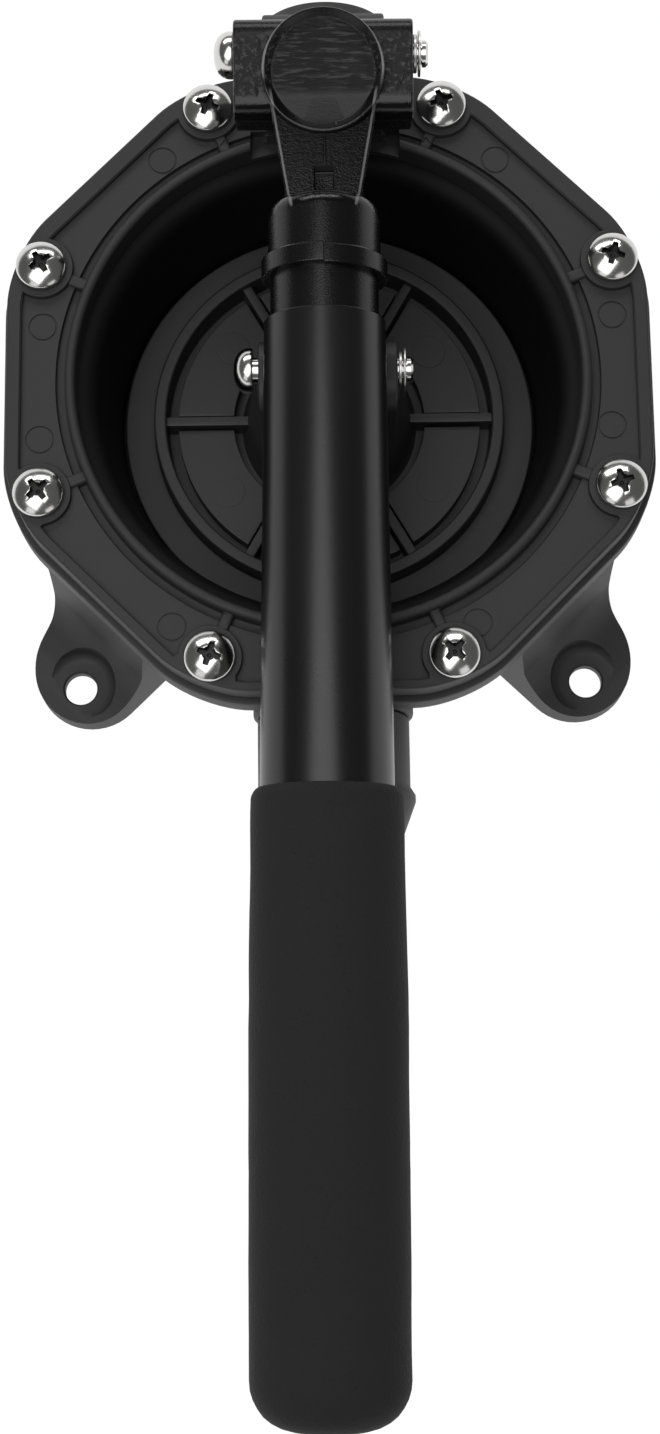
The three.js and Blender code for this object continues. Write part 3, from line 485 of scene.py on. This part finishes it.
def clamp_ring():
    whole = softened(octagon(APOTHEM, CORNER, RING_FOOT, RING_TOP), 0.7, 3)
    whole = fused(whole, cuts=[rod(RING_BORE + 1.5, 40, 70, WIDE_TURN)])
    lip = softened(spun([(RING_BORE, 55), (LIP_EDGE, 55), (LIP_EDGE, LIP_TOP), (RING_BORE, LIP_TOP)],
                        WIDE_TURN, ring=True), 1.15, 5, only=edge_at(LIP_TOP))
    lug = softened(moved(prism([(LUG_INNER, 58), (LUG_OUTER, 58), (LUG_OUTER, 65.6), (75.3, 84.1),
                                (58.35, 85.6), (LUG_INNER, 65.6)], -LUG_HALF, LUG_HALF), ALONG_X), 0.6)
    at_pivot = shift(0, PIVOT_Y, PIVOT_Z)
    lug_eye = softened(moved(rod(8.8, -LUG_HALF, LUG_HALF, 64), SPIN_X, at_pivot), 0.6)
    # The sunk panels: a band inside the border, less all that stands up from it.
    band = moved(octagon(APOTHEM - BORDER, CORNER - BORDER, PANEL, RING_TOP - 0.35, 0.5),
                 shift(0, -BORDER_SHIFT))
    over, spoke_top = RING_TOP + 0.05, RING_TOP - 0.6
    pads = at_screws(lambda: softened(rod(7.4, 50, over), 0.5, only=edge_at(over)))
    spokes, ends = [], ([], [])
    for i in range(8):
        spoke = softened(slab(55, 70, -1.4, 1.4, 50, spoke_top), 0.8, 3, only=edge_at(spoke_top))
        spokes.append(moved(spoke, Matrix.Rotation((i + 0.5) * EIGHTH, 4, "Z")))
        for side, group in zip((-1, 1), ends):
            y0, y1 = sorted((-side * 21.6, -side * 30))
            end = softened(slab(67.5, 90, y0, y1, 50, over), 0.5, only=edge_at(over))
            group.append(moved(end, Matrix.Rotation((i + 0.5 + side / 2) * EIGHTH, 4, "Z")))
    room = slab(-LUG_HALF, LUG_HALF, 59.5, LUG_OUTER, 50, 70)
    groove = softened(spun([(LIP_EDGE, GROOVE_FLOOR), (GROOVE_EDGE, GROOVE_FLOOR),
                            (GROOVE_EDGE, 64), (LIP_EDGE, 64)], WIDE_TURN, ring=True), 0.5, 3,
                      only=edge_at(GROOVE_FLOOR))
    band = fused(band, cuts=[rod(62.0, 50, 70, WIDE_TURN)])
    sunk = fused(fused(band, adds=[groove]), cuts=[pads, spokes, *ends, room])
    ejector_marks = [(-38.4, 54.5), (-66.2, 13.3), (-66.6, -14.2), (-36.1, -59.1),
                     (40.1, 53.4), (66.2, 14.2), (65.2, -12.7), (33.1, -59.2)]
    low, high = PANEL - 0.3, PANEL + 0.3
    rings = [moved(spun([(3.0, low), (3.35, low), (3.45, high), (2.9, high)], 40, ring=True),
                   shift(x, y)) for x, y in ejector_marks]
    holes = at_screws(lambda: rod(SCREW_WAY, 40, 70, 24))
    pin = moved(rod(BUSH_WAY, -30, 30), SPIN_X, at_pivot)
    # The lip's gap round the lug, and a small nick beside each of the two nearest screws.
    gate = fused(slab(-17.6, 17.6, 50, 61.6, 57.2, 70), cuts=[slab(-14.4, 14.4, 59.6, 75, 40, 90)])
    nicks = [moved(prism([(-1.1, -0.7), (1.1, -0.7), (0.1, 0.9)], 60.6, 70), shift(side * 23.8, 58.3))
             for side in (-1, 1)]
    return fused(whole, adds=[lip, lug, lug_eye],
                 cuts=[sunk, rod(MEMBRANE_ROOM, 40, 55.4, WIDE_TURN), pin, rings, holes, gate, nicks])


piece("ring_moulding", clamp_ring(), "pump", RING, ["clamp_ring"])


# ---- Pump body ------------------------------------------------------------------------------

def ear(sign_x, sign_y):
    """A mounting ear drawn along +X and turned to its corner, with the spot face and hole to cut."""
    reach = HOLE.length
    angle = Vector((1, 0)).angle(HOLE)
    turn = Matrix.Rotation(angle if sign_x > 0 else pi - angle, 4, "Z")
    place = Matrix.Diagonal((1, sign_y, 1, 1)) @ turn @ Matrix.Diagonal((1, -sign_x, 1, 1))
    plan = prism([(49, -11.9), (96.03, -11.9), (96.03, 13.2), (77.0, 17.1), (73.5, 22), (49, 30)],
                 0, 47.5, {1: 13.7, 2: 13.7, 3: 11, 4: 2}, 12)
    above = moved(prism([(130, 6.7), (92.3, 6.8), (87.3, 8.4), (77.2, 14.0), (72.5, 47.5), (72.5, 70),
                         (130, 70)], -60, 60, {1: 6, 2: 10, 3: 14}, 12),
                  ALONG_X, turned(-90, "Z"))
    web = softened(fused(plan, cuts=[above]), 1.1, 3, 50)
    spot = moved(spun([(0, 7), (6.4, 7), (7.6, 7.3), (8.5, 8.2), (8.9, 9.5), (9.1, 12), (9.1, 40),
                       (0, 40)], 64), shift(reach))
    clear = fused(spot, cuts=[rod(74, 0, 60, 96)])
    hole = moved(spun([(0, -1), (7, -1), (7, 3.6), (4, 3.6), (4, 6.6), (4.4, 7.0), (4.4, 9),
                       (0, 9)], 48), shift(reach))
    return [moved(part, place) for part in (web, clear, hole)]


def port_side(side):
    """Lays a shape turned round Z along the port that opens towards +Y (1) or -Y (-1)."""
    return shift(0, 0, PORT_Z) @ turned(-side * 90, "X")


def pump_body():
    shell = softened(spun([(0, 0), (42, 0), (61, 20), (63, 47), (0, 47)], WIDE_TURN), 3, 4, 20,
                     only=edge_between(-1, 30))
    flange = softened(octagon(APOTHEM + 1.4, CORNER + 1.4, FLANGE_FOOT, PARTING), 0.6)
    webs, clears, holes = ([facing_out(part) for part in parts] for parts in
                           zip(*(ear(x, y) for x in (1, -1) for y in (1, -1))))
    bosses = at_screws(lambda: softened(rod(5.6, 41.6, 50, 40), 0.8))
    threads = at_screws(lambda: rod(SCREW_WAY, 43.3, 60, 24))
    ports = [moved(softened(rod(19, 53, 74.5, 96), 1.2, 3), port_side(side)) for side in (1, -1)]
    bores = [moved(rod(16.3, 41, 80, 96), port_side(side)) for side in (1, -1)]
    inside = softened(spun([(0, 5), (40, 5), (57, 20), (59, 56), (0, 56)], WIDE_TURN), 3, 4, 20,
                      only=edge_between(-1, 40))
    recess_cut = rod(MEMBRANE_ROOM, PARTING - 1.8, 60, WIDE_TURN)
    return fused(shell, adds=[flange, webs, bosses, ports],
                 cuts=[clears, holes, threads, bores, inside, recess_cut])


piece("body_moulding", pump_body(), "pump", BODY, ["pump_body"])

for port, side in (("outlet", 1), ("inlet", -1)):
    tail = softened(spun([(13.4, 64.5), (16.0, 64.5), (16.0, 68.75), (14.8, 68.75), (14.8, 70.25),
                          (16.0, 70.25), (16.0, 74.8), (18, 74.8), (18, 91.2), (19.2, 93.2),
                          (19.2, 94.6), (15.9, 103.5), (13.4, 103.5)], ring=True), 0.35)
    piece(port + "_tail_moulding", moved(tail, port_side(side)), "pump", BODY,
          [port + "_tail"])


# ---- Diaphragm and plate --------------------------------------------------------------------

def diaphragm():
    """The moulded rubber, with the soft roll beside its clamped rim and a wall to the plate."""
    inside = [(66, 55.1), (59.2, 55.1), (57.4, 55.0), (55.9, 54.5), (54.7, 53.5), (53.9, 52.0),
              (53.5, 50.0)]
    lean, drop = 2.9, 24.4
    wall = [(53.5 - lean * k / 10, 50.0 - drop * k / 10) for k in range(1, 11)]
    under = [(50.6, 22.5), (3.3, 22.5), (3.3, 20.1), (50.4, 20.1), (52.0, 21.0), (53.0, 23.4)]
    outside = [(53.0 + lean * k / 10, 25.6 + drop * k / 10) for k in range(11)]
    back = [(56.6, 51.6), (57.6, 52.1), (66, 52.1)]
    return spun(inside + wall + under + outside + back, WIDE_TURN, ring=True)


membrane = piece("diaphragm_rubber", diaphragm(), None, RUBBER, ["diaphragm"])
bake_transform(membrane)


def diaphragm_plate():
    disc = softened(spun([(0, PLATE_FOOT), (50, PLATE_FOOT), (50, PLATE_TOP), (42.5, PLATE_TOP),
                          (42.5, RIM_TOP), (39.5, RIM_TOP), (39.5, MOAT), (0, MOAT)], WIDE_TURN),
                    0.55, 3)
    sixths = [Matrix.Rotation(i * pi / 3, 4, "Z") for i in range(6)]
    lands = spun([(23.2, 23), (36.8, 23), (36.8, LAND_TOP), (23.2, LAND_TOP)], 144, ring=True)
    bars = [moved(slab(-45, 45, -1.8, 1.8, 20, 40), sixth)
            for sixth in sixths[:3]]   # three bars cross, so each cuts by itself
    lands = softened(fused(lands, cuts=bars), 0.3, 2, 50)
    ribs = [moved(softened(slab(10, 41, -1.2, 1.2, 23, RIB_TOP), 0.45, only=edge_between(30, 31)), sixth)
            for sixth in sixths]
    hub = softened(spun([(0, 23.5), (22.2, 23.5), (20.6, 25.2), (20.2, 26.8), (17, CLEVIS_FLOOR),
                         (0, CLEVIS_FLOOR)]), 0.7, 3, 60)
    # The clevis: two cheeks, and the slot in which the link pin takes up the arc.
    y0, y1, crest = LINK_Y - SLOT_RUN - CHEEK_ROUND, LINK_Y + CHEEK_ROUND, LINK_Z + CHEEK_ROUND
    outline = [(y0, 40), (y1, 40), (y1, crest), (y0, crest)]
    nearly = CHEEK_ROUND - 0.05
    cheeks = [softened(moved(prism(outline, low, low + 5.8, {2: nearly, 3: nearly}, 12), ALONG_X),
                       0.6, 3, 50) for low in (10.1, -15.9)]
    y0, y1 = LINK_Y - SLOT_RUN - SLOT_HALF, LINK_Y + SLOT_HALF
    z0, z1 = LINK_Z - SLOT_HALF, LINK_Z + SLOT_HALF
    slot = moved(prism([(y0, z0), (y1, z0), (y1, z1), (y0, z1)], -30, 30,
                       {i: SLOT_HALF - 0.05 for i in range(4)}), ALONG_X)
    return fused(disc, adds=[lands, hub, ribs, cheeks], cuts=[slot, rod(SCREW_WAY, 0, 37.9, 32)])


piece("plate_moulding", diaphragm_plate(), "plate", PLATE, ["diaphragm_plate"])

for number, (x, y, height) in enumerate(((-22.9, 18.8, 0.22), (24.6, 17.5, 0.22),
                                          (-25.9, -18.2, 0.1), (25.9, -17.4, 0.1)), 1):
    scale = MARK_CIRCLE / hypot(x, y)
    mark = softened(rod(MARK_RADIUS, LAND_TOP - 0.4, LAND_TOP + height), 0.09)
    piece(f"plate_pin_mark_{number}", moved(mark, shift(x * scale, y * scale)), "plate",
          PLATE)


# ---- Clamp screws ---------------------------------------------------------------------------

def pan_head(turn):
    """A screw standing on the axis, with its cross turned by so many degrees."""
    head = softened(spun([(0, 43.8), (3, 43.8), (3, SCREW_SEAT), (5.55, SCREW_SEAT), (5.85, 62.3),
                          (5.9, 62.75), (5.82, 63.05), (5.5, 63.4), (4.75, 63.95), (3.8, 64.5),
                          (2.6, 64.98), (1.3, 65.24), (0, 65.3)], 56), 0.1, 2, 50)
    cross = [moved(prism([(-2.75, -0.62), (-1.25, -0.8), (1.25, -0.8), (2.75, -0.62), (2.75, 0.62),
                          (1.25, 0.8), (-1.25, 0.8), (-2.75, 0.62)], 63.0, 66),
                   turned(quarter, "Z")) for quarter in (0, 90)]
    well = spun([(0, 62.2), (1.55, 64.6), (1.75, 66), (0, 66)], 24)
    head = fused(head, cuts=cross + [well])
    mouth_low, mouth_reach = 64.6, 3.2
    softened(head, 0.13, 2, 50, only=lambda e: all(
        v.co.z > mouth_low and hypot(v.co.x, v.co.y) < mouth_reach for v in e.verts))
    # The walls and floor of the cross take the second material, which paints their shade.
    shade_reach, shade_low, shade_high = 2.9, 62.1, 64.75
    for face in head.faces:
        middle = face.calc_center_median()
        within = hypot(middle.x, middle.y) < shade_reach
        face.material_index = int(within and shade_low < middle.z < shade_high)
    return moved(head, turned(turn, "Z"))


cross_turns = (-15.5, 20, -23.5, 31.6, 39, -18.4, 47, 17)
for number, ((x, y), turn) in enumerate(zip(SCREWS, cross_turns), 1):
    piece(f"pan_head_screw_{number}", moved(pan_head(turn), shift(x, y)), "pump",
          (STEEL, RECESS), [f"clamp_screw_{number}"])


# ---- Yoke -----------------------------------------------------------------------------------

def yoke():
    """The casting in the handle's own frame, with the pivot at its origin, moved into place."""
    block = prism([(-16, -6), (0, -7.6), (7.6, -7.6), (7.6, 1.4), (6.2, 6.6), (6.2, 11), (-14, 11),
                   (-16, 7)], -20, 20, {0: 1.5, 2: 7.5, 3: 2, 5: 3.5, 6: 3.2, 7: 3})
    block = softened(moved(block, ALONG_X), 0.55, 3, 50)
    lug_room = [slab(-LUG_ROOM, LUG_ROOM, -11.2, 0, -20, 9.4),
                slab(-LUG_ROOM, LUG_ROOM, 6.3, 20, -20, 20)]
    lug_turn = moved(rod(9.3, -LUG_ROOM, LUG_ROOM, 64), SPIN_X)
    block = fused(block, cuts=[lug_room, lug_turn])
    boss = moved(spun([(0, 9.4), (13.3, 9.4), (13.65, 13.2), (13.62, 13.6), (13.45, 13.85),
                       (13.2, 13.9), (12.95, 13.8), (11.7, 12.35), (11.35, 12.15), (0, 12.15)], 120),
                 shift(0, BOSS_Y))
    head = moved(fused(block, adds=[boss]), BLOCK_TILT)
    neck = softened(prism([(-NECK_WIDE, -NECK_NEAR), (-NECK_SLIM, -NECK_FAR), (NECK_SLIM, -NECK_FAR),
                           (NECK_WIDE, -NECK_NEAR)], -4.5, 8.5), 0.45, 3)
    notch = softened(slab(-2.2, 2.2, -37.5, -29.5, 4.5, 10), 0.3)
    seam = moved(softened(slab(-0.35, 0.35, -28.6, -20.5, 8.2, 8.75), 0.2), turned(0.6, "Z"))
    # The split socket that the tube slides on, with a collar in two halves.
    start = 36.5
    socket = softened(spun([(0, start), (12.5, start), (12.5, 49.9), (11.6, 49.9), (11.6, 54),
                            (12.05, 54), (12.05, 94.5), (10.55, 96), (0, 96)]), 3.6, 6,
                      only=edge_at(start))
    socket = moved(socket, TUBE_AXIS)
    collars = []
    for side in (-1, 1):
        ring = softened(spun([(11, 49.6), (13.6, 49.6), (14, 50.2), (14, 54.2), (11, 54.2)],
                             ring=True), 0.4, 2, 50)
        ring = fused(ring, cuts=[slab(*sorted((-side * 30, side * 0.12)), -20, 20, 40, 60)])
        collars.append(moved(ring, shift(0, 0, side * 0.2), TUBE_AXIS))
    arm = softened(moved(prism([(-13.6, 2), (-63.2, -2.8), (-63.2, -12.4), (-64.5, -12.4),
                                (-68.2, -18.8), (-64.5, -25.2), (-45.6, -12), (-13.6, -4.5)], -9, 9),
                         ALONG_X), 0.6)
    eye = moved(softened(rod(7.4, -9, 9, 64), 0.6), SPIN_X, LINK_ARM)
    pin = moved(rod(SCREW_WAY, -30, 30, 32), SPIN_X)
    bush = moved(rod(BUSH_WAY, -30, 30, 32), SPIN_X, LINK_ARM)
    return moved(fused(head, adds=[neck, socket, arm, eye, *collars, seam], cuts=[notch, pin, bush]),
                 HANDLE)


piece("yoke_casting", yoke(), "handle", CASTING, ["yoke"])


# ---- Pins, washers and clips ----------------------------------------------------------------

def along_x(profile, place, ring=False):
    return moved(spun(profile, 56, ring), SPIN_X, place)


def pin_set(label, half, place):
    """A domed pin through a fork of that half width, with its washer and its snap clip."""
    seat, washer, clip = -(half + 0.3), half + 0.3, half + 1.4
    tip = clip + 2.2
    dome = [(0, -4.5), (1.6, -4.42), (3.0, -4.05), (4.1, -3.4), (4.9, -2.4), (5.25, -1.4),
            (5.3, -0.4), (5.15, 0), (3, 0)]
    shank = [(3, clip - 0.15), (2.4, clip - 0.15), (2.4, clip + 0.85), (3, clip + 0.85),
             (3, tip - 0.5), (2.5, tip), (0, tip)]
    pin = along_x([(r, seat + h) for r, h in dome] + shank, place)
    piece(label + "_pin_turned", pin, "handle", STEEL, [label + "_pin"])
    flat = [(SCREW_WAY, washer), (4.15, washer), (4.3, washer + 0.15), (4.3, washer + 0.65),
            (4.15, washer + 0.8), (SCREW_WAY, washer + 0.8)]
    piece(label + "_plain_washer", along_x(flat, place, ring=True), "handle", PLATED,
          [label + "_washer"])
    disc = spun([(2.7, clip), (5.1, clip), (5.1, clip + 0.5), (2.7, clip + 0.5)], 56, ring=True)
    disc = softened(fused(disc, cuts=[slab(0, 9, -1.6, 1.6, clip - 1, clip + 2)]), 0.12, 2, 50)
    piece(label + "_snap_clip", moved(disc, SPIN_X, place), "handle", PLATED,
          [label + "_clip"])


pin_set("pivot", 20, HANDLE)
pin_set("link", 16.45, HANDLE @ LINK_ARM)


# ---- Tube and grip --------------------------------------------------------------------------

tube = spun([(12.35, 63.8), (13.3, 63.8), (TUBE_IN, 64.0), (TUBE_OUT, SLEEVE_START),
             (TUBE_OUT, TUBE_END), (TUBE_IN, TUBE_END), (TUBE_IN, SLEEVE_START)], 128, ring=True)
piece("handle_tube_drawn", moved(tube, TUBE_AXIS, HANDLE), "handle", TUBE, ["handle_tube"])


def grip():
    """The foam sleeve, with a cut upper edge, a closed round end and slight waves in its skin."""
    first, last = 169.6, GRIP_END - GRIP_ROUND
    length = [(15.75, 167.7), (16.2, 168.3), (16.5, 169.0), (SLIM, first)]
    length += [(SLIM + (THICK - SLIM) * min(1, k / 16), first + k * (last - first) / 40)
               for k in range(1, 41)]
    end = [(THICK - GRIP_ROUND * (1 - cos(a * pi / 16)), last + GRIP_ROUND * sin(a * pi / 16))
           for a in range(1, 9)]
    bore, bore_end = TUBE_OUT + 0.3, TUBE_END + 0.3
    inner = [(0, bore_end), (bore, bore_end), (bore, SLEEVE_START), (15.4, SLEEVE_START)]
    bm = spun(inner + length + end + [(3, GRIP_END + 0.1), (0, GRIP_END + 0.15)], 120)
    skin = 15.2                  # the waves stay off the bore and the middle of the end
    for v in bm.verts:
        radius = hypot(v.co.x, v.co.y)
        if radius > skin:
            wave = noise.noise(Vector((v.co.x, v.co.y, v.co.z * 0.8)) * 0.09)
            fine = noise.noise(v.co * 0.5)
            grow = 1 + (0.14 * wave + 0.05 * fine - 0.1) / radius
            v.co.x *= grow
            v.co.y *= grow
    return moved(bm, TUBE_AXIS, HANDLE)


sleeve = piece("grip_foam_sleeve", grip(), "handle", FOAM, ["handle_grip"])


# ---- Frame parts that stay ------------------------------------------------------------------

kept = {"backing_plate": PLATE, "hub_bolt": STEEL, "tube_plug": PLUG, "pivot_bush": NYLON,
        "link_bush": NYLON}
for port in ("outlet", "inlet"):
    kept.update({port + "_seal": RUBBER, port + "_valve_seat": BODY, port + "_flap": RUBBER})
for name, finish in kept.items():
    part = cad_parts[name]
    part.data.materials.clear()
    part.data.materials.append(finish)


# ---- Stage, light and camera ----------------------------------------------------------------

STAGE_REACH, WALL_TOP, FLOOR_DROP = 20000, 3400, 0.05
GLOW, GLOW_SHARE = 1.065, 0.93                # strength of the white, and its share over the lit coat


def white_surround():
    """The coat of floor and wall: seen as white, also in reflections, with the object's shadow on it."""
    coat = Finish("floor_white", Base_Color=(0.82, 0.82, 0.82, 1), Roughness=0.9,
                  Specular_IOR_Level=0.0)
    path = coat.tree.nodes.new("ShaderNodeLightPath")
    camera_ray, glossy_ray, clear_ray = (
        Wire(coat, path.outputs[f"Is {ray} Ray"]) for ray in ("Camera", "Glossy", "Transmission"))
    glow = coat.node("ShaderNodeEmission", {}, {"Color": (1, 1, 1, 1), "Strength": GLOW})[0]
    lit = Wire(coat, coat.shader.outputs[0])
    share = (camera_ray + glossy_ray + clear_ray) * GLOW_SHARE
    mixed = coat.node("ShaderNodeMixShader", {}, {0: share, 1: lit, 2: glow})[0]
    coat.tree.links.new(mixed.socket, coat.output.inputs[0])
    return coat.material


WHITE = white_surround()


def staged(name, bm):
    made = stand(moved(bm, Matrix.Scale(MM, 4)), name)
    made.data.materials.append(WHITE)
    bpy.context.scene.collection.objects.link(made)


floor_mesh = bmesh.new()
bmesh.ops.create_grid(floor_mesh, x_segments=1, y_segments=1, size=STAGE_REACH,
                      matrix=shift(0, 0, -FLOOR_DROP))
staged("studio_floor", floor_mesh)

# A low pale wall stands all round, so that low views and the metal see white behind the object.
wall_mesh = bmesh.new()
bmesh.ops.create_circle(wall_mesh, cap_ends=False, segments=96, radius=STAGE_REACH)
wall_rim = bmesh.ops.extrude_edge_only(wall_mesh, edges=wall_mesh.edges[:])["geom"]
bmesh.ops.translate(wall_mesh, vec=(0, 0, WALL_TOP),
                    verts=[g for g in wall_rim if isinstance(g, bmesh.types.BMVert)])
staged("studio_wall", wall_mesh)

world = bpy.data.worlds.new("studio")
world.use_nodes = True
bpy.context.scene.world = world
world.node_tree.nodes["Background"].inputs["Color"].default_value = (*grey(0.11), 1)


def softbox(name, place, size, power, aim=(0, 0, 0.04)):
    """A rectangular lamp: places and sizes in metres, power in watts."""
    data = bpy.data.lights.new(name, "AREA")
    data.shape, data.size, data.size_y, data.energy = "RECTANGLE", size[0], size[1], power
    lamp = bpy.data.objects.new(name, data)
    lamp.location = place
    lamp.rotation_euler = (Vector(aim) - Vector(place)).to_track_quat("-Z", "Y").to_euler()
    bpy.context.scene.collection.objects.link(lamp)


softbox("overhead", (-0.25, -0.36, 1.25), (1.0, 1.38), 9.6, (-0.02, -0.1, 0))
softbox("head_end", (-0.15, 1.05, 0.85), (1.5, 0.42), 6.8)
for side in (-1, 1):
    softbox(f"grip_end_{side + 2}", (0.75 * side, -1.15, 0.8), (0.7, 0.6), 1.1)


# The camera stands over the grip's side and looks down. Its place, turn and lens were worked out
# from where the eight screws lie in the photograph.
FOCAL_PIXELS, PHOTO_PIXELS, SENSOR = 2400, 1434, 36
CAMERA_PLACE = Vector((1.59388, -193.13528, 586.62943))
ROW_X = Vector((0.99988376, -0.01345909, -0.00716364))
ROW_Y = Vector((-0.01466011, -0.97776411, -0.2091947))
ROW_Z = Vector((-0.00418878, 0.2092754, -0.97784777))
camera_data = bpy.data.cameras.new("camera")
camera_data.sensor_width = SENSOR
camera_data.lens = FOCAL_PIXELS * SENSOR / PHOTO_PIXELS
camera = bpy.data.objects.new("camera", camera_data)
place = Matrix((ROW_X, -ROW_Y, -ROW_Z)).transposed().to_4x4()
place.translation = CAMERA_PLACE * MM
camera.matrix_world = place
bpy.context.scene.collection.objects.link(camera)
bpy.context.scene.camera = camera
bpy.context.scene.view_settings.view_transform = "Standard"
